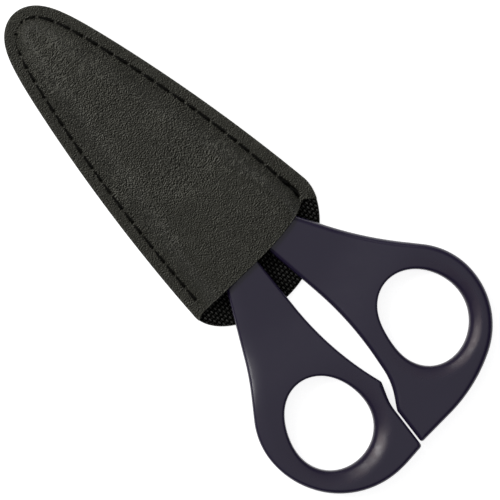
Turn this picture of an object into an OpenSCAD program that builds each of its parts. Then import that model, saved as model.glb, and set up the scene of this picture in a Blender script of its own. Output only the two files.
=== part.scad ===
// Small ring-handled thread scissors lying closed in a slip-on sheath.
// Millimetres. +Y runs from the finger bows to the sheath's tip, +X to the right-hand bow,
// +Z up. The origin is the middle of the whole object's footprint, on the surface it lies on.

/* [Sheath] */
// Length of the sheath from its round tip to the end of the back panel's tongue
sheath_len = 87.4; // [86:0.1:90]
// Thickness of the leatherette of one panel
leather_t = 0.9; // [0.7:0.05:1]
// Thickness of the woven lining bonded to each panel
lining_t = 0.35; // [0.25:0.05:0.4]
// Distance from a panel's cut edge to the seam
seam_margin = 2.7; // [2.4:0.1:3]
// Extra margin of the seam on the right side at the mouth
seam_drift = 0.8; // [0:0.1:1]
// Distance between two needle holes
stitch_pitch = 3.75; // [3:0.05:5]
// Diameter of the sewing thread
thread_d = 0.45; // [0.3:0.05:0.5]

/* [Handles] */
// Thickness of the moulded finger bows
bow_t = 6.8; // [6.6:0.1:7.6]
// Thickness of the arms where they enter the sheath
arm_t = 3.8; // [3.6:0.1:3.8]
// Rounding of a bow's outer edges
edge_r = 1.2; // [0.6:0.1:1.4]
// Rounding of the finger holes' edges
hole_edge_r = 0.9; // [0.4:0.1:1.4]

/* [Blades] */
// Thickness of each blade
blade_t = 1.2; // [1:0.05:1.25]
// Distance from the pivot to the blades' tips
blade_len = 53; // [45:0.5:54]
// Radius of the round shoulder at the pivot
shoulder_r = 6.5; // [5.5:0.1:6.6]
// Diameter of the rivet's shank
shank_d = 4; // [3:0.1:4.5]
// Diameter of the rivet's domed head
head_d = 7; // [6:0.1:8]

/* [Hidden] */

pivot = [0.8, 4];             // the rivet's axis
mid_z = bow_t / 2;            // the plane in which the two blades meet
blade_gap = 0.04;             // between the two blades' flat faces
bore_clearance = 0.05;        // between the rivet's shank and a blade's bore
side_clearance = 0.02;        // between a blade and the rivet's head or washer
roof_clearance = 0.35;        // between the arms or blades and the front lining

floor_z = leather_t + lining_t;             // top of the back lining
roof_mouth = mid_z + arm_t / 2 + roof_clearance;    // underside of the front lining over the arms
roof_tip = mid_z + blade_gap / 2 + blade_t + roof_clearance;    // and over the blades' tips
roof_ramp = 4.4;                            // width over which the front panel rises from the seam

tip_y = 65.9;                 // the sheath's round tip
tongue_y = tip_y - sheath_len;
mouth_y = -11.15;             // front panel's straight edge

// ---------------------------------------------------------------- helpers

function unit(v) = v / norm(v);
function smooth(t) = let (c = min(1, max(0, t))) c * c * (3 - 2 * c);
function mix(a, b, t) = a + (b - a) * t;
function bezier(a, b, c, d, t) =
    pow(1 - t, 3) * a + 3 * pow(1 - t, 2) * t * b + 3 * (1 - t) * t * t * c + t * t * t * d;

outline_step = 3.2;           // longest side along a handle's outline
arc_step = 14;                // and most that its arcs turn from one side to the next, in degrees

// Arc that rounds the corner b between a and c with radius r
function corner(a, b, c, r) =
    let (u = unit(a - b), v = unit(c - b), half = acos(u * v) / 2,
         o = b + unit(u + v) * r / sin(half),
         p = b + u * r / tan(half), q = b + v * r / tan(half),
         start = atan2(p.y - o.y, p.x - o.x),
         turn = (atan2(q.y - o.y, q.x - o.x) - start + 540) % 360 - 180,
         n = ceil(max(2, abs(turn) / arc_step, r * abs(turn) * PI / 180 / outline_step)))
    [for (i = [0:n]) o + r * [cos(start + turn * i / n), sin(start + turn * i / n)]];

// Closed outline through corners given as [x, y, radius]
function rounded(vertices) =
    let (n = len(vertices), at = function (i) [vertices[(i + n) % n].x, vertices[(i + n) % n].y])
    [for (i = [0:n - 1]) each corner(at(i - 1), at(i), at(i + 1), vertices[i].z)];

// The same closed outline with no side longer than step
function divided(path, step) =
    [for (i = [0:len(path) - 1])
        let (a = path[i], b = path[(i + 1) % len(path)], n = max(1, ceil(norm(b - a) / step)))
        for (k = [0:n - 1]) mix(a, b, k / n)];

// Triangles that close a grid of rows by cols points; either direction may wrap round
function grid_faces(rows, cols, wrap_rows, wrap_cols) =
    [for (r = [0:rows - (wrap_rows ? 1 : 2)], c = [0:cols - (wrap_cols ? 1 : 2)])
        let (r2 = (r + 1) % rows, c2 = (c + 1) % cols)
        each [[r * cols + c, r2 * cols + c, r2 * cols + c2], [r * cols + c, r2 * cols + c2, r * cols + c2]]];

// Tube along an open path of 3D points
module tube(path, r, sides) {
    n = len(path);
    rings = [for (i = [0:n - 1])
        let (t = unit(path[min(n - 1, i + 1)] - path[max(0, i - 1)]),
             across = unit(cross(t, [0, 0, 1])), up = cross(across, t))
        for (k = [0:sides - 1]) path[i] + r * (cos(360 * k / sides) * across + sin(360 * k / sides) * up)];
    ends = [[for (k = [0:sides - 1]) k], [for (k = [sides - 1:-1:0]) (n - 1) * sides + k]];
    polyhedron(rings, concat(grid_faces(n, sides, false, true), ends));
}

// ---------------------------------------------------------------- finger handles

// Corners of the outlines, clockwise from the inner end inside the sheath
left_corners = [
    [-0.2, -4, 1.4], [-4.05, -36.3, 70], [-1, -49.5, 0.5], [-3.25, -54.4, 12], [-4.85, -65.8, 0.6],
    [-10, -66.1, 30], [-30.7, -65.8, 19.6], [-30.7, -40.2, 17], [-20.8, -28, 60], [-5.6, -2.9, 1.6]];
right_corners = [
    [1.9, -4, 1.4], [8.3, -2.9, 1.6], [19.1, -24.4, 88], [30.8, -39.3, 17], [30.8, -57, 18.5],
    [12.5, -65.25, 36], [-4.3, -65.2, 0.5], [-3.1, -56.5, 0.8], [0.65, -51.1, 16], [3.9, -35.1, 75]];

// Finger holes: centre, mean radius, then the size and direction of their oval and egg shape
left_hole = [[-15.75, -47.5], 10.1, 0.65, 76, 0.25, 82];
right_hole = [[15.9, -46.05], 10.3, 0.9, 79, 0.28, 103];

function hole_r(hole, angle) =
    hole[1] + hole[2] * cos(2 * (angle - hole[3])) + hole[4] * cos(3 * (angle - hole[5]));

// Half thickness: full at the bows, thinner where the arms go into the sheath
function half_t(y) = mix(bow_t / 2, arm_t / 2, smooth((y + 38) / 16));

// Cross-section from the finger hole to the outer side: [where from the hole's wall, 0, to the
// outer side, 1; distance in along the top from that wall; drop below the top]
top_steps = 5;
handle_profile = let (s = 1 - sqrt(0.5)) concat(
    [[0, 0, hole_edge_r], [0, hole_edge_r * s, hole_edge_r * s], [0, hole_edge_r, 0]],
    [for (k = [1:top_steps - 1]) [k / top_steps, 0, 0]],
    [[1, edge_r, 0], [1, edge_r * s, edge_r * s], [1, 0, edge_r]]);

// A handle is one closed ring round its finger hole; its arm is where the ring reaches furthest
module handle(corners, hole) {
    path = divided(rounded(corners), outline_step);
    n = len(path);
    last = len(handle_profile) - 1;
    profile = concat([for (p = handle_profile) concat(p, 1)],
                     [for (k = [last:-1:0]) concat(handle_profile[k], -1)]);
    points = [for (p = profile, i = [0:n - 1])
        let (out = path[i] - hole[0], ray = unit(out), inner = hole_r(hole, atan2(ray.y, ray.x)),
             along = unit(path[(i + 1) % n] - path[(i + n - 1) % n]),
             slant = max(0.3, abs(cross(along, ray))),
             near = inner + (p[0] == 0 ? p[1] : hole_edge_r),
             far = norm(out) - min((p[0] == 1 ? p[1] : edge_r) / slant, 0.4 * (norm(out) - inner)),
             at = hole[0] + ray * mix(near, far, p[0]))
        [at.x, at.y, mid_z + p[3] * (half_t(at.y) - p[2])]];
    polyhedron(points, grid_faces(len(profile), n, true, true));
}

// ---------------------------------------------------------------- blades

tang_end = [-10.4, -20];      // middle of the left tang's end, inside the handle
tang_w = 5;
tang_taper = 1.2;             // its width at the pivot, as a multiple of tang_w
tang_holes = [0.5, 0.78];     // anchoring holes, as fractions of the tang's length
tang_hole_r = 1.3;
edge_start = 8;               // where the cutting edge begins above the pivot
bevel_w = 1.8;                // width of the ground bevel

// Outline of the upper blade above the pivot: back on the right, cutting edge on the left
function blade_outline() =
    let (a = [shoulder_r, 0], b = [shoulder_r - 0.2, blade_len * 0.4], c = [3.1, blade_len * 0.8],
         d = [0.35, blade_len])
    [for (p = concat([[-shoulder_r, 0]], [for (i = [0:12]) bezier(a, b, c, d, i / 12)],
        [[-0.35, blade_len - 0.25], [-0.7, blade_len - 1.4], [-1.5, edge_start], [-3.2, edge_start - 1.6],
         [-shoulder_r + 0.5, 4]])) p + pivot];

// Wedge ground away along the cutting edge, leaving the flat lower face sharp
module edge_bevel() {
    low = pivot + [-1.5, edge_start];
    high = pivot + [-0.7, blade_len - 1.4];
    translate([low.x, low.y, 0])
        rotate(atan2(high.y - low.y, high.x - low.x) - 90)
            rotate([-90, 0, 0])
                translate([0, 0, -1])
                    linear_extrude(norm(high - low) + 6)
                        polygon([[-2, -0.15], [0, -0.15], [bevel_w, -blade_t - 0.01], [bevel_w, -3], [-2, -3]]);
}

module tang() {
    run = tang_end - pivot;
    side = unit([run.y, -run.x]) * tang_w / 2;
    difference() {
        linear_extrude(blade_t)
            polygon([pivot + side * tang_taper, tang_end + side, tang_end - side, pivot - side * tang_taper]);
        for (f = tang_holes)
            translate([pivot.x + run.x * f, pivot.y + run.y * f, -1])
                cylinder(r = tang_hole_r, h = blade_t + 2, $fn = 32);
    }
}

// Upper blade with its flat face on z = 0; the lower blade is its mirror image turned over
module blade_body() {
    difference() {
        union() {
            linear_extrude(blade_t) polygon(blade_outline());
            translate([pivot.x, pivot.y, 0]) cylinder(r = shoulder_r, h = blade_t, $fn = 72);
            tang();
        }
        edge_bevel();
        translate([pivot.x, pivot.y, -1])
            cylinder(r = shank_d / 2 + bore_clearance, h = blade_t + 2, $fn = 48);
    }
}

// Puts a child drawn for the upper blade in the upper or the lower blade's place
module blade_place(upper) {
    if (upper)
        translate([0, 0, mid_z + blade_gap / 2]) children();
    else
        translate([2 * pivot.x, 0, mid_z - blade_gap / 2]) rotate([0, 180, 0]) children();
}

module left_blade() {
    color("#b9bcc0") blade_place(true) blade_body();
}

module right_blade() {
    color("#b9bcc0") blade_place(false) blade_body();
}

module left_handle() {
    color("#221d38") difference() {
        handle(left_corners, left_hole);
        blade_place(true) tang();
    }
}

module right_handle() {
    color("#221d38") difference() {
        handle(right_corners, right_hole);
        blade_place(false) tang();
    }
}

// ---------------------------------------------------------------- pivot

washer_t = 0.5;
washer_top = mid_z - blade_gap / 2 - blade_t - side_clearance;
washer_bottom = washer_top - washer_t;
head_bottom = mid_z + blade_gap / 2 + blade_t + side_clearance;
head_t = 0.65;
tail_d = 5;                   // peened end of the shank, under the washer
tail_t = 0.3;

module pivot_rivet() {
    color("#c9ccd0") translate([pivot.x, pivot.y, 0]) rotate_extrude($fn = 72)
        polygon(concat(
            [[0, washer_bottom - tail_t], [tail_d / 2 - 0.2, washer_bottom - tail_t],
             [tail_d / 2, washer_bottom], [shank_d / 2, washer_bottom], [shank_d / 2, head_bottom],
             [head_d / 2, head_bottom]],
            [for (a = [0:10:90]) [head_d / 2 * cos(a), head_bottom + 0.15 + (head_t - 0.15) * sin(a)]]));
}

module pivot_washer() {
    color("#a9acb0") translate([pivot.x, pivot.y, washer_bottom]) difference() {
        cylinder(d = head_d, h = washer_t, $fn = 72);
        translate([0, 0, -1]) cylinder(r = shank_d / 2 + 0.02, h = washer_t + 2, $fn = 48);
    }
}

// ---------------------------------------------------------------- sheath

// Half width of a panel at y: a round tip that runs into long, slightly bowed sides
function half_w(y) =
    let (t = max(0, tip_y - y)) 6.6 * sqrt(1 - exp(-0.27 * t)) + 0.27 * t - 0.00128 * t * t;

// Heights down one side of the sheath, close together round the tip
function side_rows(n, end_y) = [for (i = [0:n]) tip_y - 0.06 - (tip_y - 0.06 - end_y) * pow(i / n, 1.7)];

side_points = [for (y = side_rows(90, -24)) [half_w(y), y]];
function edge_distance(x, y) = min([for (p = side_points) norm(p - [abs(x), y])]);
function margin(x, y) = seam_margin + (x > 0 ? seam_drift * smooth((25 - y) / 35) : 0);

// Underside of the front lining: flat on the margins, lifted over the arms and blades
function roof(x, y) =
    let (inside = smooth((edge_distance(x, y) - margin(x, y)) / roof_ramp),
         top = mix(roof_mouth, roof_tip, smooth((y + 4) / 60)))
    mix(floor_z, top, inside);

// The front panel's mouth edge is nearly straight; the right-hand seam draws it up beside the arm
mouth_rise = 2.2;
function mouth(x) =
    mouth_y + (x < 2 ? 0.0006 * pow(x - 2, 2) : mouth_rise * (smooth((x - 3) / 12.5) - smooth((x - 15.8) / 2.4)));

// Rounded lower corners of the back panel, each from the end of a side to its tongue's lowest point
tongue_apex = [-1.2, tongue_y];
left_side_end = [-half_w(-10), -10];
right_side_end = [half_w(-6), -6];
function left_corner(t) =
    bezier(left_side_end, left_side_end + [0, -5.8], tongue_apex + [-10, 0], tongue_apex, t);
function right_corner(t) =
    bezier(right_side_end, right_side_end + [0.1, -6.8], tongue_apex + [11.2, 0], tongue_apex, t);

// Half width of the front panel on each side, which follows the back panel's corners
left_widths = [for (i = [0:12]) let (p = left_corner(i / 12)) [p.y, -p.x]];
right_widths = [for (i = [0:12]) let (p = right_corner(i / 12)) [p.y, p.x]];
function left_w(y) = y > left_side_end.y ? half_w(y) : lookup(y, left_widths);
function right_w(y) = y > right_side_end.y ? half_w(y) : lookup(y, right_widths);

// Distances in from the cut edge of the columns of a panel's grid
columns_in = concat([0, 0.5], [for (i = [0:5]) 1 + i * roof_ramp / 5 / seam_margin]);
front_rows = side_rows(26, mouth_y);
front_grid = [for (y0 = front_rows)
    let (left = left_w(y0), right = right_w(y0), fit = min(seam_margin, half_w(y0) / (max(columns_in) + 1)))
    concat([for (c = columns_in) [-left + c * fit, y0]], [[0, y0]],
           [for (k = [len(columns_in) - 1:-1:0]) [right - columns_in[k] * fit, y0]])];

// One skin of the front of the sheath, from lift to lift + thick above the roof surface
module front_skin(lift, thick) {
    cols = len(front_grid[0]);
    rows = len(front_grid);
    flat = [for (row = [0:rows - 1], p = front_grid[row])
        [p.x, p.y + (mouth(p.x) - mouth_y) * pow(row / (rows - 1), 6)]];
    heights = [for (p = flat) roof(p.x, p.y) + lift];
    under = [for (i = [0:len(flat) - 1]) [flat[i].x, flat[i].y, heights[i]]];
    over = [for (p = under) p + [0, 0, thick]];
    n = rows * cols;
    rim = concat([for (c = [0:cols - 1]) c], [for (r = [1:rows - 1]) r * cols + cols - 1],
                 [for (c = [cols - 2:-1:0]) (rows - 1) * cols + c], [for (r = [rows - 2:-1:1]) r * cols]);
    m = len(rim);
    polyhedron(concat(under, over), concat(
        grid_faces(rows, cols, false, false),
        [for (f = grid_faces(rows, cols, false, false)) [f[2] + n, f[1] + n, f[0] + n]],
        [for (i = [0:m - 1]) let (a = rim[i], b = rim[(i + 1) % m])
            each [[a, b, b + n], [a, b + n, a + n]]]));
}

// Outline of the back panel: the same sides, with a rounded tongue past the mouth
function back_outline() =
    concat([for (y = side_rows(34, right_side_end.y)) [half_w(y), y]],
           [for (i = [1:12]) right_corner(i / 12)],
           [for (i = [11:-1:1]) left_corner(i / 12)],
           let (rows = side_rows(34, left_side_end.y)) [for (i = [34:-1:0]) [-half_w(rows[i]), rows[i]]]);

module back_skin(low, thick) {
    translate([0, 0, low]) linear_extrude(thick) polygon(back_outline());
}

module sheath_front_panel() {
    color("#2b2c28") front_skin(lining_t, leather_t);
}

module sheath_front_lining() {
    color("#1b1b18") front_skin(0, lining_t);
}

module sheath_back_panel() {
    color("#2b2c28") back_skin(0, leather_t);
}

module sheath_back_lining() {
    color("#1b1b18") back_skin(leather_t, lining_t);
}

// ---------------------------------------------------------------- lockstitch seam

seam_end_left = -8.2;
seam_end_right = -8.6;

// The seam's line, from the left of the mouth round the tip to the right of the mouth
function seam_side(side, end_y) =
    [for (i = [1:70])
        let (rows = side_rows(70, end_y), y = rows[i], slope = (half_w(y - 0.05) - half_w(y)) / 0.05,
             inward = unit([-1, -slope]) * margin(side * half_w(y), y))
        [side * max(0, half_w(y) + inward.x), y + inward.y]];
seam_line = let (left = seam_side(-1, seam_end_left))
    [for (p = concat([for (i = [69:-1:0]) left[i]], seam_side(1, seam_end_right)))
        if (abs(p.x) > 0.3) p];

function run_lengths(path, i = 0, sum = 0) =
    i == len(path) ? [] :
    let (here = sum + (i == 0 ? 0 : norm(path[i] - path[i - 1])))
    concat([here], run_lengths(path, i + 1, here));

seam_runs = run_lengths(seam_line);
seam_x = [for (i = [0:len(seam_line) - 1]) [seam_runs[i], seam_line[i].x]];
seam_y = [for (i = [0:len(seam_line) - 1]) [seam_runs[i], seam_line[i].y]];
stitches = floor(seam_runs[len(seam_runs) - 1] / stitch_pitch);

// Thread that lies along the seam at run_z and dips to hole_z at every needle hole
function thread_path(run_z, hole_z) =
    [for (s = [0:stitches - 1], part = [[0, hole_z], [0.09, run_z], [0.5, run_z], [0.91, run_z]])
        let (at = (s + part[0]) * stitch_pitch)
        [lookup(at, seam_x), lookup(at, seam_y), part[1]]];

module seam_top_thread() {
    top = floor_z + lining_t + leather_t;
    color("#161614") tube(thread_path(top - 0.1, floor_z + lining_t), thread_d / 2, 6);
}

module seam_bobbin_thread() {
    color("#161614") tube(thread_path(thread_d / 2 + 0.02, leather_t), thread_d / 2, 6);
}

pivot_rivet();
pivot_washer();
left_blade();
left_handle();
right_blade();
right_handle();
sheath_front_panel();
sheath_front_lining();
sheath_back_panel();
sheath_back_lining();
seam_top_thread();
seam_bobbin_thread();
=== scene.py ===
"""Small ring-handled thread snips lying closed in a stitched leatherette sheath: the looks.

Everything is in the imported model's frame: +Y towards the sheath's tip, +X towards the right-hand
finger bow, +Z up. Shapes are worked out in millimetres and scaled by MM when a mesh is made.
"""
import math

import bpy
import numpy as np
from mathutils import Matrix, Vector, noise


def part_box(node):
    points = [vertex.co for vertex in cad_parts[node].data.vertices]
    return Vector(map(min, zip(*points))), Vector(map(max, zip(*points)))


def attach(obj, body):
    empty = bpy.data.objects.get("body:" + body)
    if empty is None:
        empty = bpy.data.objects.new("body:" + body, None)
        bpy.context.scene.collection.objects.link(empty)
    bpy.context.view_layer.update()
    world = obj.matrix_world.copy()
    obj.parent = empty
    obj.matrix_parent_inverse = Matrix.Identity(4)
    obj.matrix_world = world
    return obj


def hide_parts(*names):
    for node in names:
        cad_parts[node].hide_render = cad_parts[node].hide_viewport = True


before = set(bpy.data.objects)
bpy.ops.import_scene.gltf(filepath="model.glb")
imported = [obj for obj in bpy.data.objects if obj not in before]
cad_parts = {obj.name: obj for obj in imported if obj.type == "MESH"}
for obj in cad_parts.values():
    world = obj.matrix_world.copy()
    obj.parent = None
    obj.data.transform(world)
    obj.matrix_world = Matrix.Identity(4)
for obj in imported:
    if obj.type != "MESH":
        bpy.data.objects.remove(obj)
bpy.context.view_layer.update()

MM = 0.001


def span(node_name, axis):
    """Lowest and highest coordinate of a CAD node along an axis, in millimetres."""
    low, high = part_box(node_name)
    return low[axis] / MM, high[axis] / MM


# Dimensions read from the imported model
TONGUE_Y, TIP_Y = span("sheath_back_panel", 1)
MOUTH_Y = span("sheath_front_panel", 1)[0]
LEATHER_T = span("sheath_back_panel", 2)[1]
FLOOR_Z = span("sheath_back_lining", 2)[1]
LINING_T = FLOOR_Z - LEATHER_T
ROOF_MOUTH = span("sheath_front_lining", 2)[1] - LINING_T
BOW_T = span("left_handle", 2)[1]
MID_Z = BOW_T / 2
BLADE_TOP = span("left_blade", 2)[1]
ROOF_TIP = BLADE_TOP + 0.35

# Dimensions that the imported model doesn't state, as in its design
ARM_T = 3.8
SEAM_MARGIN = 2.7
SEAM_DRIFT = 0.8
STITCH_PITCH = 3.75
THREAD_R = 0.21
RIM_BULGE = 0.12    # how far a panel's cut edge stands out at mid thickness
RIM_STEPS = (0.12, 0.35, 0.65, 0.88)


# ------------------------------------------------------------------ helpers

def smooth(t):
    t = np.clip(t, 0, 1)
    return t * t * (3 - 2 * t)


def mix(a, b, t):
    return a + (b - a) * t


def bell(distance, width):
    """1 at no distance, falling off on both sides."""
    return np.exp(-(distance / width) ** 2)


def unit(v):
    return v / np.linalg.norm(v, axis=-1, keepdims=True)


def run_of(path):
    """Distance along a path to each of its points."""
    return np.concatenate([[0], np.cumsum(np.linalg.norm(np.diff(path, axis=0), axis=1))])


def bezier(a, b, c, d, steps=40):
    t = np.linspace(0, 1, steps + 1)[:, None]
    a, b, c, d = (np.asarray(p, float) for p in (a, b, c, d))
    return (1 - t) ** 3 * a + 3 * (1 - t) ** 2 * t * b + 3 * (1 - t) * t * t * c + t ** 3 * d


def at_runs(path, runs, wanted):
    """Points of a path at the wanted distances along it."""
    return np.stack([np.interp(wanted, runs, path[:, k]) for k in range(path.shape[1])], axis=-1)


def resample(path, step, closed=False):
    """The same path with evenly spaced points, about a step apart."""
    path = np.vstack([path, path[:1]]) if closed else np.asarray(path, float)
    runs = run_of(path)
    wanted = np.linspace(0, runs[-1], max(2, round(runs[-1] / step)) + 1)
    return at_runs(path, runs, wanted[:-1] if closed else wanted)


def flowing(points, steps=12):
    """Smooth curve through a few points."""
    p = np.asarray(points, float)
    p = np.vstack([2 * p[0] - p[1], p, 2 * p[-1] - p[-2]])
    pieces = []
    for i in range(1, len(p) - 2):
        leaving = p[i] + (p[i + 1] - p[i - 1]) / 6
        arriving = p[i + 1] - (p[i + 2] - p[i]) / 6
        pieces.append(bezier(p[i], leaving, arriving, p[i + 1], steps)[:-1])
    return np.vstack(pieces + [p[-2:-1]])


def rounded(corners, step):
    """Closed outline through corners (x, y, radius), each rounded by an arc."""
    points = []
    count = len(corners)
    for i, (x, y, radius) in enumerate(corners):
        b = np.array([x, y])
        u = unit(np.array(corners[i - 1][:2]) - b)
        v = unit(np.array(corners[(i + 1) % count][:2]) - b)
        half = math.acos(float(u @ v)) / 2
        centre = b + unit(u + v) * radius / math.sin(half)
        p, q = (b + w * radius / math.tan(half) for w in (u, v))
        start = math.atan2(p[1] - centre[1], p[0] - centre[0])
        turn = math.atan2(q[1] - centre[1], q[0] - centre[0]) - start
        turn = (turn + 3 * math.pi) % (2 * math.pi) - math.pi
        arc_steps = max(4, round(abs(turn) * radius / step))
        for a in start + turn * np.linspace(0, 1, arc_steps + 1):
            points.append(centre + radius * np.array([math.cos(a), math.sin(a)]))
    return np.array(points)


def noise_at(points, scale, seed=0):
    """Smooth noise from -1 to 1 at an array of points, with features about scale wide."""
    shift = Vector((seed * 7.3, seed * 3.1, seed * 5.7))
    flat = np.asarray(points, float).reshape(-1, points.shape[-1])
    flat = np.column_stack([flat, np.zeros((len(flat), 3 - flat.shape[1]))])
    values = [noise.noise(Vector(p) / scale + shift) for p in flat]
    return np.array(values).reshape(points.shape[:-1])


def add_mesh(name, points, faces, body, materials, picked=None):
    """A smooth-shaded piece from points in millimetres, riding on a CAD body."""
    mesh = bpy.data.meshes.new(name)
    mesh.from_pydata((np.asarray(points) * MM).tolist(), [], [list(map(int, f)) for f in faces])
    for material in materials:
        mesh.materials.append(material)
    if picked is not None:
        mesh.polygons.foreach_set("material_index", picked)
    mesh.polygons.foreach_set("use_smooth", [True] * len(mesh.polygons))
    mesh.validate()
    mesh.update()
    piece = bpy.data.objects.new(name, mesh)
    bpy.context.scene.collection.objects.link(piece)
    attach(piece, body)
    return piece


def keep_number(piece, name, values):
    """Keeps a number at each vertex of a piece for its material."""
    piece.data.attributes.new(name, "FLOAT", "POINT").data.foreach_set("value", values)


def grid_faces(rows, cols, wrap_rows=False, wrap_cols=False, flip=False, first=0):
    """Quads of a grid whose points are numbered row by row from first."""
    faces = []
    for r in range(rows if wrap_rows else rows - 1):
        for c in range(cols if wrap_cols else cols - 1):
            r2, c2 = (r + 1) % rows, (c + 1) % cols
            face = [r * cols + c, r * cols + c2, r2 * cols + c2, r2 * cols + c]
            faces.append([first + k for k in (reversed(face) if flip else face)])
    return faces


def sweep(path, radius_at, sides):
    """Points and faces of a closed tube along a path; radius_at(run, angles) gives its radius."""
    runs = run_of(path)
    along = unit(np.gradient(path, axis=0))
    across = unit(np.cross(along, [0, 0, 1]))
    up = np.cross(across, along)
    angles = 2 * math.pi * np.arange(sides) / sides
    points = [path[i] + radius_at(runs[i], angles)[:, None]
              * (np.cos(angles)[:, None] * across[i] + np.sin(angles)[:, None] * up[i])
              for i in range(len(path))]
    faces = grid_faces(len(path), sides, wrap_cols=True)
    faces += [list(range(sides))[::-1], [(len(path) - 1) * sides + k for k in range(sides)]]
    return np.vstack(points), faces


# ------------------------------------------------------------------ materials

def new_material(name):
    material = bpy.data.materials.new(name)
    material.use_nodes = True
    tree = material.node_tree
    return material, tree, tree.nodes["Principled BSDF"]


def set_inputs(tree, to_node, inputs):
    """Links each named input to a socket, or sets it to a plain value."""
    for key, value in inputs.items():
        if isinstance(value, bpy.types.NodeSocket):
            tree.links.new(value, to_node.inputs[key])
        else:
            to_node.inputs[key].default_value = value


def node(tree, kind, inputs=None, **settings):
    made = tree.nodes.new(kind)
    for key, value in settings.items():
        setattr(made, key, value)
    set_inputs(tree, made, inputs or {})
    return made


def calc(tree, operation, *values):
    return node(tree, "ShaderNodeMath", dict(enumerate(values)), operation=operation).outputs[0]


def ramp(tree, value, low, high, to_low=0.0, to_high=1.0):
    """A value's place between low and high, held to that range and spread from to_low to to_high."""
    return node(tree, "ShaderNodeMapRange", {"Value": value, "From Min": low, "From Max": high,
                                             "To Min": to_low, "To Max": to_high}).outputs["Result"]


def place(tree, scale=(1, 1, 1), shift=(0, 0, 0)):
    """Coordinates fixed to the piece, in millimetres, stretched by scale and then shifted."""
    coordinates = node(tree, "ShaderNodeTexCoord").outputs["Object"]
    stretched = tuple(s / MM for s in scale)
    return node(tree, "ShaderNodeMapping", {"Vector": coordinates, "Scale": stretched,
                                            "Location": shift}).outputs["Vector"]


def noise_node(tree, vector, scale, detail=3.0, roughness=0.5):
    return node(tree, "ShaderNodeTexNoise", {"Vector": vector, "Scale": scale, "Detail": detail,
                                             "Roughness": roughness}).outputs["Fac"]


def blend_colour(tree, factor, low, high):
    mixer = node(tree, "ShaderNodeMix", {"Factor": factor}, data_type="RGBA")
    for socket, colour in ((6, low), (7, high)):
        mixer.inputs[socket].default_value = (*colour, 1)
    return mixer.outputs[2]


def bump(tree, height, depth):
    """Normal of a surface raised by height, in units of depth millimetres."""
    return node(tree, "ShaderNodeBump", {"Height": height, "Distance": depth * MM,
                                         "Strength": 1.0}).outputs["Normal"]


# Pebble grain of the leatherette: scales are features per millimetre
CELL_SCALE = 2.7
CELL_SINK = -0.5
PEBBLE_SCALE = 3.5
PEBBLE_RISE = 1.6
# Painted light on the grain: higher spots and each pebble's flank that faces the tip are painted paler
# as highlights, lower spots and the other flanks darker as shade
GRAIN_MEAN = 0.57               # mean height of the pebbles
LIT_FLANK_STEP = (-0.035, 0.17, 0)  # a flank's fall is taken over this step, in millimetres
TOP_SHARE = 0.4                 # how much a pebble's own height counts beside its flank's fall
GRAIN_SPREAD = (0.28, 0.18)     # height that counts as 1, where the grain is faint and strong
FLATTENED_SPREAD = 0.11         # added to it where the grain is flattened
GRAIN_LEVEL = 0.285             # paleness of the middle grey, and how it grows with the height
GRAIN_MIDDLE = 0.13
GRAIN_SKEW = 0.05
GRAIN_TAILS = 0.055
BROAD_SCALE = 0.12              # size and strength of the uneven patches
PATCH_SCALE = 0.55
PATCH_RANGE = (0.86, 1.12)
CREASE_STRETCH = (0.28, 1.0, 1.0)
CREASE_WIDTH = 0.04
# Painted highlight along the creases
CREASE_HIGHLIGHT = 0.8
CREASE_RISE = 0.4
GLOSS_RANGE = (0.05, 0.45)      # specular level of the darkest and the palest spots


def mesh_value(tree, name):
    """A number kept at each vertex of the mesh, or 0 where the mesh has none."""
    return node(tree, "ShaderNodeAttribute", attribute_name=name).outputs["Fac"]


def pebble_height(tree, shift=(0, 0, 0)):
    """Height of the pebble grain: cell domes broken up by noise."""
    flat = place(tree, shift=shift)
    cells = node(tree, "ShaderNodeTexVoronoi", {"Vector": flat, "Scale": CELL_SCALE, "Smoothness": 0.2},
                 feature="SMOOTH_F1").outputs["Distance"]
    domes = calc(tree, "MULTIPLY", cells, CELL_SINK)
    pebbles = noise_node(tree, flat, PEBBLE_SCALE, 1.0)
    return calc(tree, "MULTIPLY_ADD", pebbles, PEBBLE_RISE, domes)


def painted_grain_light(tree, height, broad):
    """How pale each spot is: near one grey, with painted highlights on the highest spots and on the
    flanks that face the tip, and painted shade on the low spots and the flanks that face away.
    """
    fall = calc(tree, "SUBTRACT", height, pebble_height(tree, LIT_FLANK_STEP))
    above = calc(tree, "SUBTRACT", height, GRAIN_MEAN)
    spread = ramp(tree, broad, 0.35, 0.65, *GRAIN_SPREAD)
    spread = calc(tree, "MULTIPLY_ADD", mesh_value(tree, "flattened"), FLATTENED_SPREAD, spread)
    off = calc(tree, "DIVIDE", calc(tree, "MULTIPLY_ADD", above, TOP_SHARE, fall), spread)
    curve = calc(tree, "MULTIPLY_ADD", off, GRAIN_TAILS, GRAIN_SKEW)
    curve = calc(tree, "MULTIPLY_ADD", off, curve, GRAIN_MIDDLE)
    paleness = calc(tree, "MULTIPLY_ADD", off, curve, GRAIN_LEVEL)
    return calc(tree, "MAXIMUM", paleness, 0.0)


def crease_lines(tree):
    """Thin bent lines across the sheath, 1 at their middle, where the mesh is wrinkled."""
    folds = noise_node(tree, place(tree, CREASE_STRETCH), 1.0, 1.0)
    off = calc(tree, "ABSOLUTE", calc(tree, "SUBTRACT", folds, 0.5))
    lines = ramp(tree, off, 0.0, CREASE_WIDTH, 1.0, 0.0)
    return calc(tree, "MULTIPLY", lines, mesh_value(tree, "wrinkled"))


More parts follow.
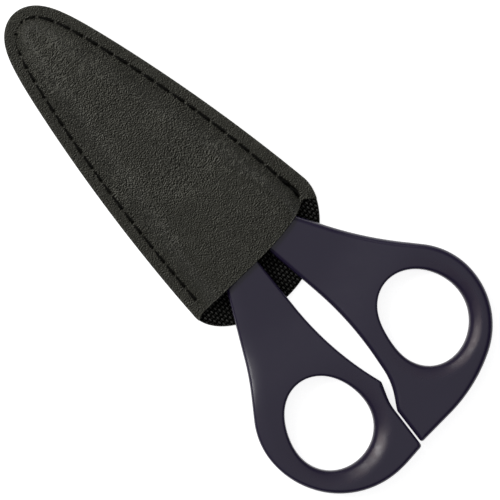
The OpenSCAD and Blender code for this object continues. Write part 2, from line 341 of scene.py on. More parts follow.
def leatherette(name, pit, tip, depth):
    """Black pebble grain, painted paler as a highlight on the side of each pebble that faces the tip
    and darker as shade on its other side and in its pits.

    Three mesh attributes vary it. One of them darkens the grain with painted shade where it is 1, and
    below 0 makes it paler with a painted sheen. Flattened is 1 where the grain is fainter, and wrinkled
    is 1 where fine creases run across it, each with a painted highlight along it.
    """
    material, tree, shader = new_material(name)
    height = pebble_height(tree)
    broad = noise_node(tree, place(tree), BROAD_SCALE)
    patches = ramp(tree, noise_node(tree, place(tree), PATCH_SCALE, 2.0), 0.3, 0.7, *PATCH_RANGE)
    uneven = calc(tree, "MULTIPLY", painted_grain_light(tree, height, broad), patches)
    # Painted light of the grain, darkened by painted shade and paled by painted sheen from the mesh
    tone_and_painted_light = calc(tree, "MULTIPLY", uneven, calc(tree, "SUBTRACT", 1.0, mesh_value(tree, "shade_and_sheen")))
    creases = crease_lines(tree)
    tone_and_painted_light = calc(tree, "MULTIPLY_ADD", creases, CREASE_HIGHLIGHT, tone_and_painted_light)
    height = calc(tree, "MULTIPLY_ADD", creases, CREASE_RISE, height)
    # The pit colour is painted shade and the tip colour a painted highlight; the specular level follows
    # them, so the painted shade dims the pits' reflection too
    set_inputs(tree, shader, {"Base Color": blend_colour(tree, tone_and_painted_light, pit, tip),
                              "Specular IOR Level": ramp(tree, tone_and_painted_light, 0.0, 1.0, *GLOSS_RANGE),
                              "Roughness": ramp(tree, broad, 0.3, 0.7, 0.30, 0.38),
                              "Normal": bump(tree, height, depth)})
    return material


# Scuffs in the finger scoops of the handles
SCUFF_RANGE = (0.5, 1.0)        # how strong they are between and in their blotches
SCUFF_DULLING = 0.1             # what they add to the roughness
SCUFF_TINT = (1.0, 0.9, 0.87)


def moulded_plastic(name, colour):
    """Satin moulded plastic with a faint spark-eroded texture, duller where the mesh is scuffed."""
    material, tree, shader = new_material(name)
    flat = place(tree)
    deeper = tuple(c * 0.85 for c in colour)
    clouds = noise_node(tree, flat, 0.05, 2.0)
    sheen = noise_node(tree, flat, 0.3, 4.0)
    blotches = ramp(tree, noise_node(tree, flat, 0.45, 2.0), 0.4, 0.6, *SCUFF_RANGE)
    scuffs = calc(tree, "MULTIPLY", mesh_value(tree, "scuffed"), blotches)
    gloss = ramp(tree, sheen, 0.3, 0.7, 0.21, 0.27)
    set_inputs(tree, shader, {"Base Color": blend_colour(tree, clouds, deeper, colour),
                              "Roughness": calc(tree, "MULTIPLY_ADD", scuffs, SCUFF_DULLING, gloss),
                              "Specular Tint": blend_colour(tree, scuffs, (1, 1, 1), SCUFF_TINT),
                              "Normal": bump(tree, noise_node(tree, flat, 1.2, 1.0), 0.006)})
    return material


# Plain weave of the lining, its warp yarns along Y: pitches in millimetres, heights in yarn rises
WARP_PITCH = 0.5
PICK_PITCH = 0.95
YARN_RISE = 0.5
YARN_ROUND = 1.7
PICK_SINK = 0.3


def weave(x, y):
    """Height of the woven surface, in yarn rises, at points in millimetres."""
    i, j = np.floor(x / WARP_PITCH), np.floor(y / PICK_PITCH)
    u, v = x / WARP_PITCH - i - 0.5, y / PICK_PITCH - j - 0.5
    warp = YARN_RISE * np.cos(math.pi * (y / PICK_PITCH - 0.5 + i)) - YARN_ROUND * u * u
    pick = -YARN_RISE * np.cos(math.pi * (x / WARP_PITCH - 0.5 + j)) - YARN_ROUND * v * v - PICK_SINK
    return np.maximum(warp, pick)


def weave_nodes(tree):
    """The same height from shader nodes."""
    counted = place(tree, (1 / WARP_PITCH, 1 / PICK_PITCH, 1))
    axes = node(tree, "ShaderNodeSeparateXYZ", {"Vector": counted}).outputs
    heights = []
    for own, other, sign, sink in (("X", "Y", 1, 0.0), ("Y", "X", -1, PICK_SINK)):
        index = calc(tree, "FLOOR", axes[own])
        off = calc(tree, "SUBTRACT", calc(tree, "SUBTRACT", axes[own], index), 0.5)
        steps = calc(tree, "ADD", calc(tree, "SUBTRACT", axes[other], 0.5), index)
        swing = calc(tree, "COSINE", calc(tree, "MULTIPLY", steps, math.pi))
        wave = calc(tree, "MULTIPLY_ADD", swing, sign * YARN_RISE, -sink)
        heights.append(calc(tree, "MULTIPLY_ADD", calc(tree, "MULTIPLY", off, off), -YARN_ROUND, wave))
    return calc(tree, "MAXIMUM", *heights)


def woven(name, dark, light, depth):
    """Coarse cloth with painted shade between its yarns and a painted highlight where its fibres cross
    their crowns.
    """
    material, tree, shader = new_material(name)
    height = weave_nodes(tree)
    fibres = noise_node(tree, place(tree, (2.0, 1.0, 1.0)), 6.0, 2.0)
    # Paler crowns are a painted highlight and the dark between the yarns painted shade; the reflection
    # is dimmed between them too
    crown = calc(tree, "MULTIPLY", ramp(tree, height, 0.0, 0.4), ramp(tree, fibres, 0.3, 0.6))
    rough = calc(tree, "MULTIPLY_ADD", fibres, 0.5, height)
    set_inputs(tree, shader, {"Base Color": blend_colour(tree, crown, dark, light),
                              "Specular IOR Level": ramp(tree, crown, 0.0, 1.0, 0.0, 0.6),
                              "Roughness": 0.5,
                              "Normal": bump(tree, rough, depth)})
    return material


def twisted_thread(name, colour):
    """Dull fibrous thread."""
    material, tree, shader = new_material(name)
    fibres = noise_node(tree, place(tree), 9.0, 2.0)
    brighter = tuple(c * 2.2 for c in colour)
    set_inputs(tree, shader, {"Base Color": blend_colour(tree, fibres, colour, brighter),
                              "Specular IOR Level": 0.12,
                              "Roughness": 0.6,
                              "Normal": bump(tree, fibres, 0.03)})
    return material


def ground_steel(name, stretch, roughness):
    """Stainless steel ground in one direction; stretch is how fine its scratches are in X, Y, Z."""
    material, tree, shader = new_material(name)
    scratches = noise_node(tree, place(tree, stretch), 1.0, 5.0, 0.7)
    broad = noise_node(tree, place(tree), 0.12)
    tint = blend_colour(tree, broad, (0.32, 0.325, 0.335), (0.40, 0.405, 0.415))
    gloss = ramp(tree, scratches, 0.3, 0.7, roughness, roughness + 0.12)
    set_inputs(tree, shader, {"Base Color": tint, "Metallic": 1.0, "Roughness": gloss,
                              "Normal": bump(tree, scratches, 0.006)})
    return material


LEATHER = leatherette("black_leatherette", (0.004, 0.004, 0.003), (0.15, 0.148, 0.12), 0.2)
CUT_EDGE = leatherette("leatherette_cut_edge", (0.02, 0.019, 0.014), (0.07, 0.066, 0.052), 0.2)
PLASTIC = moulded_plastic("aubergine_plastic", (0.0165, 0.0104, 0.0385))
LINING = woven("black_woven_lining", (0.001, 0.001, 0.0008), (0.036, 0.036, 0.031), 0.12)
THREAD = twisted_thread("black_thread", (0.003, 0.003, 0.0025))
BLADE_STEEL = ground_steel("ground_steel", (2.0, 0.05, 2.0), 0.46)
RIVET_STEEL = ground_steel("polished_steel", (0.6, 0.6, 0.6), 0.2)


# ------------------------------------------------------------------ finger handles

LEFT_CORNERS = [
    (-0.2, -4, 1.4), (-4.05, -36.3, 70), (-1, -49.5, 0.5), (-3.25, -54.4, 12), (-4.85, -65.8, 0.6),
    (-10, -66.1, 30), (-30.7, -65.8, 19.6), (-30.7, -40.2, 17), (-20.8, -28, 60), (-5.6, -2.9, 1.6)]
RIGHT_CORNERS = [
    (1.9, -4, 1.4), (8.3, -2.9, 1.6), (19.1, -24.4, 88), (30.8, -39.3, 17), (30.8, -57, 18.5),
    (12.5, -65.25, 36), (-4.3, -65.2, 0.5), (-3.1, -56.5, 0.8), (0.65, -51.1, 16), (3.9, -35.1, 75)]

# Finger holes: centre, mean radius, then the size and direction of their oval and egg shape
LEFT_HOLE = ((-15.75, -47.5), 10.1, 0.65, 76, 0.25, 82)
RIGHT_HOLE = ((15.9, -46.05), 10.3, 0.9, 79, 0.28, 103)

# Finger scoops: their direction in degrees, width, depth and how scuffed they are
LEFT_SCOOP = (-82, 4.3, 1.5, 1.0)
RIGHT_SCOOP = (-62, 3.3, 1.28, 1.5)
SCOOP_SPREAD = 150      # degrees on each side in which a scoop fades out
SCOOP_CURVE = 1.5

CROWN_W = 3.6
PARTING_RISE = 0.1      # the mould's parting line: half its height, and how far it stands out
PARTING_OUT = 0.05
EDGE_STEPS = np.linspace(0, math.pi / 2, 9)     # angles round an edge's rounding
FACE_STEPS = np.linspace(0, 1, 16)[1:-1]        # places across the face between two edges


def hole_radius(hole, angle):
    mean, oval, oval_way, egg, egg_way = hole[1:]
    return (mean + oval * np.cos(2 * (angle - math.radians(oval_way)))
            + egg * np.cos(3 * (angle - math.radians(egg_way))))


def half_thickness(at, lean):
    """Full at the bows, thinner where the arms, which lean to one side, go into the sheath."""
    along_arm = at[:, 1] + lean * (at[:, 0] + 11 * np.sign(lean))
    return mix(BOW_T / 2, ARM_T / 2, smooth((along_arm + 39) / 18))


def facing(angle, way, spread):
    """1 where an angle points the way given in degrees, falling to 0 over the spread."""
    off = np.abs((np.degrees(angle) - way + 180) % 360 - 180)
    return smooth(1 - off / spread)


def left_edge(outward, y):
    """Width and drop of the outer edge's rounding, and of the low crown down the outer side."""
    width = 0.6 + 0.5 * smooth(-2 * outward[:, 1])
    crown = smooth((0.1 - outward[:, 0]) / 0.7) * smooth((y + 61) / 13)
    return width, 0.9 * width, 0.4 * crown


def right_edge(outward, y):
    """The same for the right handle, which has no crown."""
    width = 1.2 + 0.35 * smooth(2 * outward[:, 0])
    return width, 0.8 * width, 0 * width


def handle_rings(length, inner, slant, scooped, edge_w, edge_d):
    """Rings of a handle's upper half, from the finger hole out to the outline.

    Each is how far out along the rays it lies, its height above the parting plane or its drop from
    the top face, and whether that is a drop.
    """
    flat = 0 * inner
    hole_w = 0.75 + 0.35 * scooped
    hole_d = 0.84 * hole_w
    rings = [(inner - PARTING_OUT, flat, False), (inner, PARTING_RISE + flat, False)]
    for a in EDGE_STEPS:
        rings.append((inner + hole_w * (1 - math.cos(a)), hole_d * (1 - math.sin(a)), True))
    for f in FACE_STEPS:
        rings.append((mix(inner + hole_w, length - edge_w, f), flat, True))
    for a in EDGE_STEPS[::-1]:
        rings.append((length - edge_w * (1 - math.cos(a)), edge_d * (1 - math.sin(a)), True))
    rings += [(length, PARTING_RISE + flat, False), (length + PARTING_OUT / slant, flat, False)]
    return rings


def make_handle(name, node_name, body, corners, hole, lean, scoop, edge_shape):
    """One closed ring round the finger hole; its arm is where the ring reaches furthest."""
    path = resample(rounded(corners, 0.3), 0.4, closed=True)
    centre = np.array(hole[0])
    length = np.linalg.norm(path - centre, axis=1)
    ray = (path - centre) / length[:, None]
    angle = np.arctan2(ray[:, 1], ray[:, 0])
    inner = hole_radius(hole, angle)
    along = unit(np.roll(path, -1, 0) - np.roll(path, 1, 0))
    outward = np.column_stack([-along[:, 1], along[:, 0]])
    slant = np.maximum(np.abs(along[:, 0] * ray[:, 1] - along[:, 1] * ray[:, 0]), 0.3)
    # The hole's edge widens into a scoop on the side where the finger presses
    scoop_way, scoop_w, scoop_d, scuffs = scoop
    scooped = facing(angle, scoop_way, SCOOP_SPREAD)
    edge_w, edge_d, crown_d = edge_shape(outward, path[:, 1])
    edge_w = np.minimum(edge_w / slant, 0.42 * (length - inner))
    upper = handle_rings(length, inner, slant, scooped, edge_w, edge_d)
    sides = [(1, ring) for ring in upper] + [(-1, ring) for ring in upper[-2:0:-1]]
    points = []
    scuffed = []
    for side, (reach, height, drops) in sides:
        at = centre + ray * reach[:, None]
        from_hole = np.clip((reach - inner) / scoop_w, 0, 1)
        if drops:
            from_edge = np.clip((length - reach) * slant / CROWN_W, 0, 1)
            height = height + crown_d * (1 - from_edge) ** 2
            height = height + scoop_d * scooped * (1 - from_hole) ** SCOOP_CURVE
            height = np.maximum(half_thickness(at, lean) - height, PARTING_RISE)
        points.append(np.column_stack([at, MID_Z + side * height]))
        scuffed.append(scuffs * scooped * smooth(3 * (1 - from_hole)))
    faces = grid_faces(len(points), len(path), wrap_rows=True, wrap_cols=True, flip=True)
    piece = add_mesh(name, np.vstack(points), faces, body, [PLASTIC])
    keep_number(piece, "scuffed", np.concatenate(scuffed))
    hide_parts(node_name)


make_handle("left_bow_and_arm", "left_handle", "left_half", LEFT_CORNERS, LEFT_HOLE, 0.26,
            LEFT_SCOOP, left_edge)
make_handle("right_bow_and_arm", "right_handle", "right_half", RIGHT_CORNERS, RIGHT_HOLE, -0.26,
            RIGHT_SCOOP, right_edge)


# ------------------------------------------------------------------ shape of the sheath

# Its half width is a round tip that runs into a long, slightly bowed taper
TIP_W = 6.6
TIP_RATE = 0.27
TAPER = 0.27
TAPER_BOW = 0.00128


def half_width(y):
    t = np.maximum(0, TIP_Y - np.asarray(y, float))
    return TIP_W * np.sqrt(1 - np.exp(-TIP_RATE * t)) + TAPER * t - TAPER_BOW * t * t


def side_profile(end_y):
    """Points down the right side of the sheath, starting at the tip."""
    t = (TIP_Y - end_y) * np.linspace(0, 1, 3000) ** 2
    return np.column_stack([half_width(TIP_Y - t), TIP_Y - t])


def back_outline():
    """Closed outline of the back panel, from its tongue up the left side, round the tip and back."""
    left_y, right_y, apex = -10, -6, np.array([-1.2, TONGUE_Y])
    left = np.array([-half_width(left_y), left_y])
    right = np.array([half_width(right_y), right_y])
    return np.vstack([bezier(apex, apex + [-10, 0], left + [0, -5.8], left)[:-1],
                      side_profile(left_y)[::-1] * [-1, 1], side_profile(right_y)[1:],
                      bezier(right, right + [0.1, -6.8], apex + [11.2, 0], apex)[1:-1]])


BACK_OUTLINE = back_outline()

# The front panel's mouth: nearly straight, drawn up a little by the right-hand seam
MOUTH_END_Y = -11.2
MOUTH = flowing([(-19.6, MOUTH_END_Y), (-17.3, -10.55), (-10, -10.8), (0.5, MOUTH_Y), (7, -10.9),
                 (12, -10.15), (15.3, -8.95), (16.2, -9.1), (18.3, MOUTH_END_Y)])


def margin_at(x, y):
    return SEAM_MARGIN + np.where(x > 0, SEAM_DRIFT * smooth((25 - y) / 35), 0)


class Fan:
    """Grid of points over the sheath: from its outline (row 0) in to its centre line (last row)."""

    settle_y = 0    # below it the rays turn to follow the mouth or the tongue

    def __init__(self, outline, insets, fractions, end_y):
        self.edge = outline
        x, y = outline.T
        self.run = run_of(outline)
        along = unit(np.gradient(outline, axis=0))
        clear = np.where(np.abs(along[:, 1]) < 0.05, 0.05, along[:, 1])
        spine = np.clip(y + x * along[:, 0] / clear, None, TIP_Y - 6.4)
        for side, end in ((x < 0, 0), (x >= 0, len(x) - 1)):
            low = side & (y < self.settle_y) | (np.abs(self.run - self.run[end]) < 1)
            from_end = np.abs(self.run - self.run[end])
            first = np.where(low)[0][np.argmax(from_end[low])]
            spine[low] = mix(end_y, spine[first], from_end[low] / from_end[first])
        self.margin = margin_at(x, y)
        target = np.column_stack([0 * x, spine])
        self.depth = np.linalg.norm(target - outline, axis=1)
        self.ray = (target - outline) / self.depth[:, None]
        before = self.margin + insets[0] - 0.15
        rows = [mix(RIM_BULGE, before, f ** 1.4) for f in np.linspace(0, 1, 8)]
        rows += [self.margin + o for o in insets]
        rows += [rows[-1] + (self.depth - rows[-1]) * f for f in fractions]
        self.d = np.array(rows)
        self.xy = outline[None] + self.ray[None] * self.d[..., None]
        self.seam = outline + self.ray * self.margin[:, None]
        self.offset = self.d - self.margin[None]

    def follow_mouth(self):
        """Bends both ends of the grid on to the front panel's mouth."""
        x, y = self.edge.T
        middle = len(x) // 2
        for end, side in ((0, slice(0, middle)), (len(x) - 1, slice(middle, None))):
            from_end = np.abs(self.run[side] - self.run[end])
            reach = from_end[y[side] < self.settle_y].max()
            shift = np.interp(self.xy[:, end, 0], *MOUTH.T) - self.xy[:, end, 1]
            fade = np.clip(1 - from_end / reach, 0, 1) ** 2
            self.xy[:, side, 1] += shift[:, None] * fade[None]
        self.xy[-1, :, 0] = 0


def roof(fan):
    """Underside of the front lining: flat on the margins, domed over the arms and blades."""
    x, y = fan.xy[..., 0], fan.xy[..., 1]
    top = mix(ROOF_MOUTH, ROOF_TIP, smooth((y + 4) / 60))
    ramp_w = np.where(x < 0, 5.2, 4.4) + 2.2 * smooth((y + 2) / 20)
    ramp_w = np.minimum(ramp_w, 0.8 * (fan.depth - fan.margin))
    t = np.clip((fan.d - fan.margin[None]) / ramp_w, 0, 1)
    return mix(FLOOR_Z, top, np.sin(math.pi / 2 * t) ** 1.35)


def shell(name, top, bottom, loop, wrap, materials, weld=None, marks=None):
    """Closed skin between two grids, its rim rounded out; loop lists the rim's points.

    Marks are the numbers that the upper grid keeps at each vertex for its material.
    """
    rows, cols = top.shape[:2]
    count = rows * cols
    faces = grid_faces(rows, cols, wrap_cols=wrap)
    faces += grid_faces(rows, cols, wrap_cols=wrap, flip=True, first=count)
    if wrap:
        inner = [(rows - 1) * cols + k for k in range(cols)]
        faces += [inner, [count + k for k in inner[::-1]]]
    upper, lower = (g.reshape(-1, 3)[loop] for g in (top, bottom))
    along = unit((np.roll(upper, -1, 0) - np.roll(upper, 1, 0))[:, :2])
    outward = np.column_stack([-along[:, 1], along[:, 0], 0 * along[:, 0]])
    rim = [mix(upper, lower, f) + outward * RIM_BULGE * math.sin(math.pi * f) for f in RIM_STEPS]
    points = np.vstack([top.reshape(-1, 3), bottom.reshape(-1, 3)] + rim)
    size = len(loop)
    strips = [list(loop)]
    strips += [[2 * count + k * size + i for i in range(size)] for k in range(len(rim))]
    strips.append([count + i for i in loop])
    plain = len(faces)
    for a, b in zip(strips, strips[1:]):
        faces += [[a[i], b[i], b[(i + 1) % size], a[(i + 1) % size]] for i in range(size)]
    if weld:
        faces = [[weld.get(v, v) for v in f] for f in faces]
    picked = [0] * plain + [len(materials) - 1] * (len(faces) - plain)
    kept = [k for k, f in enumerate(faces) if len(set(f)) > 2]
    faces = [list(dict.fromkeys(faces[k])) for k in kept]
    used = sorted({v for f in faces for v in f})
    number = {v: k for k, v in enumerate(used)}
    faces = [[number[v] for v in f] for f in faces]
    piece = add_mesh(name, points[used], faces, "sheath", materials, [picked[k] for k in kept])
    for mark, grid in (marks or {}).items():
        values = np.zeros(len(points))
        values[:count] = grid.ravel()
        keep_number(piece, mark, values[used])
    return piece


def front_loop(rows, cols):
    """Rim of an open fan: round its outline, in along the mouth and out again."""
    right = [r * cols + cols - 1 for r in range(1, rows)]
    left = [r * cols for r in range(rows - 2, 0, -1)]
    return list(range(cols)) + right + left


def make_front_skin(name, node_name, fan, low, high, materials, marks=None):
    rows, cols = fan.d.shape
    last = (rows - 1) * cols
    weld = {}
    for k in range(cols // 2):
        for layer in (0, rows * cols):
            weld[last + cols - 1 - k + layer] = last + k + layer
    top, bottom = (np.dstack([fan.xy, z]) for z in (high, low))
    piece = shell(name, top, bottom, front_loop(rows, cols), False, materials, weld, marks)
    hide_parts(node_name)
    return piece


# ------------------------------------------------------------------ lockstitch seam

SEAM_ENDS = (-8.3, -8.7)        # y of the seam's ends, left and right
SEAM_INSETS = (-0.6, -0.42, -0.28, -0.14, 0, 0.14, 0.28, 0.42, 0.6, 0.85, 1.2, 1.6)
FIRST_HOLE = 0.5                # from the left end of the seam
# The groove along a stitch is darkened with painted shade, and a needle hole is painted black
THREAD_SHADE = 0.93             # how dark the groove is along a stitch; a needle hole is black
GROOVE_DEPTH = 0.28
SLOT_DEPTH = 0.25               # added to it where the seam is strained
HOLE_DEPTH = 0.6
GAP = 0.55                      # on each side of a needle hole the thread is below the surface
DIVE_DEPTH = 0.75
TWIST_LENGTH = 1.3              # the thread's three plies twist once in this length


def seam_track(fan):
    """Runs of the seam's points, and on the same scale its ends, its needle holes and its tip."""
    runs = run_of(fan.seam)
    y = fan.seam[:, 1]
    tip = int(np.argmax(y))
    start = np.interp(SEAM_ENDS[0], y[:tip], runs[:tip])
    stop = np.interp(-SEAM_ENDS[1], -y[tip:], runs[tip:])
    count = int((stop - start - FIRST_HOLE) / STITCH_PITCH)
    places = start + FIRST_HOLE + STITCH_PITCH * np.arange(count + 1)
    places += 0.3 * np.sin(1.7 * np.arange(count + 1)) + 0.2 * np.sin(4.1 * np.arange(count + 1))
    return runs, start, stop, places, runs[tip]


def nearest_hole(runs, places):
    """Signed distance from each run to the nearest needle hole."""
    off = runs[:, None] - places[None]
    return off[np.arange(len(runs)), np.abs(off).argmin(axis=1)]


def buried(at):
    """1 where the seam turns round the tip and its thread is sunk in the leather."""
    return bell(at[:, 0] + 2.5, 4.5) * smooth((at[:, 1] - 55) / 3)


def towards_tip(runs, off, tip_run):
    """How far along its stitch each place is: 0 at the end towards the mouth, 1 towards the tip."""
    along = np.where(off > 0, off, off + STITCH_PITCH) / STITCH_PITCH
    return np.clip(np.where(runs < tip_run, along, 1 - along), 0, 1)


def seam_relief(fan, track):
    """Rise of a panel's outer face along the seam, and how much painted shade darkens the grain along
    its grooves and needle holes.
    """
    runs, start, stop, places, tip_run = track
    off = nearest_hole(runs, places)
    inside = smooth((runs - start + 0.6) / 0.6) * smooth((stop + 0.6 - runs) / 0.6)
    # Next to the right-hand mouth corner the seam is strained into one deep slot, darkened with painted
    # shade
    strained = inside * smooth(-fan.seam[:, 1] - 1) * (runs > tip_run)
    opened = inside * smooth((np.abs(off) - 0.48) / 0.25) * (1 - 0.7 * buried(fan.seam))
    opened = np.maximum(opened, strained)
    # Each stitch is pulled in more at its end towards the tip, so it shows narrower there
    taper = mix(1.45, np.where(runs < tip_run, 0.5, 0.8), towards_tip(runs, off, tip_run))
    mouthward = np.where(runs < tip_run, 0.35, -0.35)
    hole = inside * bell(off - mouthward, 0.28)
    groove_d = GROOVE_DEPTH + SLOT_DEPTH * strained
    groove = -groove_d * bell(fan.offset, 0.22 * taper + 0.12 * strained) * opened
    dimple = -HOLE_DEPTH * bell(fan.offset, 0.24) * hole
    # Painted shade along the grooves, in the strained slot and in the needle holes
    shade_and_sheen = smooth(1.4 * bell(fan.offset, 0.3 * taper + 0.12 * strained)
                     * np.maximum(np.maximum(THREAD_SHADE * opened, strained), hole))
    return groove + dimple, shade_and_sheen


def make_thread(name, node_name, fan, track, surface_z, side):
    """Three-ply thread that runs along one face of the sheath and dives at each needle hole."""
    runs, _, _, places, tip_run = track
    wanted = np.arange(places[0], places[-1], 0.11)
    flat = at_runs(fan.seam, runs, wanted)
    off = nearest_hole(wanted, places)
    dive = 1 - smooth((np.abs(off) - 0.1) / GAP)
    along = unit(np.gradient(flat, axis=0))
    slant = 0.12 * np.sin(math.pi * np.clip(off / 1.6, -1, 1))
    flat = flat + np.column_stack([along[:, 1], -along[:, 0]]) * slant[:, None]
    sunk = np.where(wanted < tip_run, 0.3, 0.12) * towards_tip(wanted, off, tip_run)
    sunk += 0.2 * buried(flat)
    z = surface_z - side * (0.13 + DIVE_DEPTH * dive + sunk)
    twist = 2 * math.pi / TWIST_LENGTH

    def radius_at(run, angles):
        return THREAD_R * (0.86 + 0.14 * np.abs(np.cos(1.5 * (angles - twist * run))))

    points, faces = sweep(np.column_stack([flat, z]), radius_at, 12)
    piece = add_mesh(name, points, faces, "sheath", [THREAD])
    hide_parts(node_name)


# ------------------------------------------------------------------ the sheath's pieces


def leather_waves(fan):
    """Low uneven waves of the leather, how wrinkled it is, and where a sheen is painted on it."""
    xy = fan.xy
    x, y = xy[..., 0], xy[..., 1]
    inside = smooth(fan.d / 2)
    waves = 0.09 * noise_at(xy, 8.0, 1) + 0.02 * noise_at(xy, 2.6, 2)
    wrinkled = bell(x + 0.2, 3.4) * bell(y - 55.8, 1.9)
    wrinkled += 0.35 * bell(x - 0.5, 3.6) * bell(y - 53, 5.0)
    # Painted sheen: paler in random patches and near the tip
    painted_sheen = smooth(2.5 * noise_at(xy, 9.0, 4)) * smooth(3 * noise_at(xy, 0.9, 6) - 0.2)
    painted_sheen = 0.9 * painted_sheen * smooth(fan.d / 2 - 1) + 0.15 * bell(x - 0.7, 3) * bell(y - 55, 4)
    return waves * inside, wrinkled * inside, painted_sheen


def make_front_panel(fan, track):
    """Outer leatherette of the front: domed, wavy and sunk in along its seam."""
    x, y = fan.xy[..., 0], fan.xy[..., 1]
    inner_face = roof(fan) + LINING_T
    plump = 0.08 * np.sin(math.pi * np.clip(fan.d / fan.margin, 0, 1)) - 0.12 * bell(fan.d, 0.3)
    relief, shade_and_sheen = seam_relief(fan, track)
    waves, wrinkled, painted_sheen = leather_waves(fan)
    outer_face = inner_face + LEATHER_T + plump + waves + relief
    # Paler in a thin line along the mouth
    pale_mouth_line = 0.8 * bell(y - np.interp(x, *MOUTH.T), 0.25)
    # Painted shade at the right-hand mouth corner, where the margin ends
    shaded_corner = 0.5 * smooth((-8.3 - y) / 2) * smooth((x - 14.5) / 1.5)
    # Painted shade on the dome's slopes beside the seam, fading out near the tip
    stretched = 0.28 * bell(fan.offset - 2.8, 2.4) * smooth((56 - y) / 8)
    towards_mouth = np.clip((15 - y) / 25, 0, 1)
    outside_seam = smooth((-0.3 - fan.offset) / 0.4)
    marks = {"shade_and_sheen": shade_and_sheen - painted_sheen - pale_mouth_line + shaded_corner + stretched,
             "flattened": np.maximum(towards_mouth, outside_seam),
             "wrinkled": wrinkled}
    piece = make_front_skin("front_panel", "sheath_front_panel", fan, inner_face, outer_face,
                            [LEATHER, CUT_EDGE], marks)


def make_front_lining(outline):
    fan = Fan(resample(outline, 0.6), SEAM_INSETS[::4], np.linspace(0, 1, 18)[1:], MOUTH_Y)
    fan.follow_mouth()
    low = roof(fan)
    piece = make_front_skin("front_lining", "sheath_front_lining", fan, low, low + LINING_T,
                            [LINING])


def make_back_panel(fan, track):
    """Leatherette of the back, whose seam shows on the underside."""
    relief = seam_relief(fan, track)[0] * (fan.edge[:, 1] > -10)[None]
    under_z = np.maximum(0.0, -relief + 0.12 * bell(fan.d, 0.3))
    over_z = LEATHER_T - 0.1 * bell(fan.d, 0.3)
    piece = shell("back_panel", np.dstack([fan.xy, over_z]), np.dstack([fan.xy, under_z]),
                  list(range(len(fan.edge))), True, [LEATHER, CUT_EDGE])
    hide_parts("sheath_back_panel")


LINING_INSET = 0.22     # how far the back lining's edge lies inside the back panel's
WEAVE_STEP = 0.155      # length of its faces where its yarns are modelled
WEAVE_DEPTH = 0.055     # height of a yarn rise there
FRAY = 0.13             # how far its end's yarns are drawn out and in


def make_back_lining():
    """Woven lining bonded to the back panel; its weave is real where it shows below the mouth."""
    along = unit(np.roll(BACK_OUTLINE, -1, 0) - np.roll(BACK_OUTLINE, 1, 0))
    outline = BACK_OUTLINE + LINING_INSET * np.column_stack([along[:, 1], -along[:, 0]])
    apex, tip = np.argmin(outline[:, 1]), np.argmax(outline[:, 1])
    turned = np.roll(outline, -apex, axis=0)
    tip = (tip - apex) % len(outline)
    left, right = turned[:tip + 1], turned[tip:][::-1]
    low, high = outline[:, 1].min() + 0.03, outline[:, 1].max() - 0.3
    y = np.concatenate([np.arange(low, -4, WEAVE_STEP), np.linspace(-4, high, 40)])
    x_left = np.interp(y, left[:, 1], left[:, 0])
    x_right = np.interp(y, right[:, 1], right[:, 0])
    x = mix(x_left[:, None], x_right[:, None], np.linspace(0, 1, 261)[None])
    rows, cols = x.shape
    grid_y = np.repeat(y[:, None], cols, axis=1)
    ragged = FRAY * noise_at(np.dstack([x, 0 * x]), 0.7, 5) * smooth((low + 2.5 - grid_y) / 2.5)
    grid_y = grid_y + ragged
    shown = smooth((-3.5 - grid_y) / 1.5)
    z = FLOOR_Z + shown * (WEAVE_DEPTH * weave(x, grid_y) - 0.03)
    top = np.dstack([x, grid_y, z]).reshape(-1, 3)
    loop = list(range(cols))
    loop += [r * cols + cols - 1 for r in range(1, rows)]
    loop += [(rows - 1) * cols + c for c in range(cols - 2, -1, -1)]
    loop += [r * cols for r in range(rows - 2, 0, -1)]
    lower = top[loop].copy()
    lower[:, 2] = LEATHER_T
    base = len(top)
    size = len(loop)
    faces = grid_faces(rows, cols)
    for i in range(size):
        following = (i + 1) % size
        faces.append([loop[following], loop[i], base + i, base + following])
    faces.append([base + i for i in range(size)][::-1])
    piece = add_mesh("back_lining", np.vstack([top, lower]), faces, "sheath", [LINING])
    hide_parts("sheath_back_lining")


front_outline = BACK_OUTLINE[BACK_OUTLINE[:, 1] > MOUTH_END_Y - 0.05]
front = Fan(resample(front_outline, 0.25), SEAM_INSETS, np.linspace(0, 1, 44)[1:], MOUTH_Y)
front.follow_mouth()
front_track = seam_track(front)
make_front_panel(front, front_track)
make_front_lining(front_outline)
make_thread("seam_top_stitches", "seam_top_thread", front, front_track,
            FLOOR_Z + LINING_T + LEATHER_T, 1)

back = Fan(resample(BACK_OUTLINE, 0.3, closed=True), SEAM_INSETS, [0.1, 0.25], TONGUE_Y + 9)
back_track = seam_track(back)
make_back_panel(back, back_track)
make_thread("seam_under_stitches", "seam_bobbin_thread", back, back_track, 0.1, -1)
make_back_lining()

for part, steel in (("left_blade", BLADE_STEEL), ("right_blade", BLADE_STEEL),
                    ("pivot_rivet", RIVET_STEEL), ("pivot_washer", RIVET_STEEL)):
    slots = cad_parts[part].data.materials
    slots.clear()
    slots.append(steel)


# ------------------------------------------------------------------ stage, lights and camera

LIGHT_DISTANCE = 0.9
CAMERA_DISTANCE = 1.5
VIEW_WIDTH = 111 * MM
VIEW_CENTRE = (-0.5 * MM, -8.3 * MM)
VIEW_TURN = -45.6       # degrees


def softbox(name, towards, elevation, size, radiance):
    """Soft panel light of a given radiance, in a direction given as (x, y) and elevation degrees."""
    level = math.cos(math.radians(elevation))
    way = Vector((*unit(np.array(towards)) * level, math.sin(math.radians(elevation))))
    data = bpy.data.lights.new(name, "AREA")
    data.shape = "RECTANGLE"
    data.size, data.size_y = size
    data.energy = radiance * math.pi * size[0] * size[1]
    light = bpy.data.objects.new(name, data)
    light.location = way * LIGHT_DISTANCE
    light.rotation_mode = "QUATERNION"
    light.rotation_quaternion = (-way).to_track_quat("-Z", "Y")
    bpy.context.scene.collection.objects.link(light)


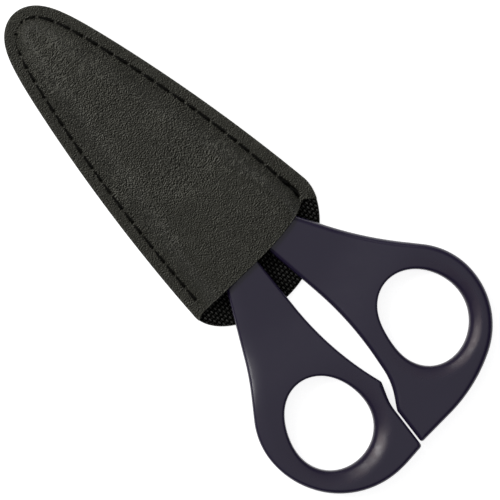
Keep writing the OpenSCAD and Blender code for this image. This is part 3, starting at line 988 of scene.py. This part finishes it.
def make_table():
    """White table top, lit from below as well so that it stays pale under the object's edges."""
    material, tree, shader = new_material("pale_table")
    mottle = noise_node(tree, place(tree), 0.02, 2.0)
    white = blend_colour(tree, mottle, (0.78, 0.78, 0.78), (0.8, 0.8, 0.8))
    set_inputs(tree, shader, {"Base Color": white, "Roughness": 0.9,
                              "Emission Color": (1, 1, 1, 1), "Emission Strength": 0.82})
    mesh = bpy.data.meshes.new("table_top")
    reach, z = 4.0, -0.0001
    corners = [(-reach, -reach, z), (reach, -reach, z), (reach, reach, z), (-reach, reach, z)]
    mesh.from_pydata(corners, [], [(0, 1, 2, 3)])
    mesh.materials.append(material)
    table = bpy.data.objects.new("table_top", mesh)
    bpy.context.scene.collection.objects.link(table)


def make_world():
    """A pale tent: a broad soft light overhead, dark sides and a brighter horizon."""
    world = bpy.data.worlds.new("studio")
    bpy.context.scene.world = world
    world.use_nodes = True
    tree = world.node_tree
    background = tree.nodes["Background"]
    direction = node(tree, "ShaderNodeTexCoord").outputs["Generated"]
    axes = node(tree, "ShaderNodeSeparateXYZ", {"Vector": direction}).outputs
    overhead = ramp(tree, axes["Z"], 0.7, 0.92, 0.0, 0.52)
    sides = ramp(tree, axes["Y"], -0.6, 0.6, 0.04, 0.2)
    horizon = ramp(tree, axes["Z"], 0.14, 0.04, 0.0, 0.55)
    total = calc(tree, "ADD", calc(tree, "ADD", overhead, sides), horizon)
    tree.links.new(total, background.inputs["Color"])


def make_camera():
    """Straight down on the object, turned so that the sheath points to the upper left."""
    data = bpy.data.cameras.new("camera")
    data.lens = data.sensor_width * CAMERA_DISTANCE / VIEW_WIDTH
    camera = bpy.data.objects.new("camera", data)
    camera.location = (*VIEW_CENTRE, CAMERA_DISTANCE)
    camera.rotation_euler = (0, 0, math.radians(VIEW_TURN))
    bpy.context.scene.collection.objects.link(camera)
    bpy.context.scene.camera = camera


make_table()
make_world()
make_camera()
softbox("key_left", (-0.46, 0.89), 53, (0.22, 0.22), 13)
softbox("key_upper_left", (0.115, 0.99), 53, (0.17, 0.17), 8)
softbox("fill_top", (0.71, 0.70), 35, (0.35, 0.25), 0.6)
bpy.context.scene.view_settings.view_transform = "Standard"
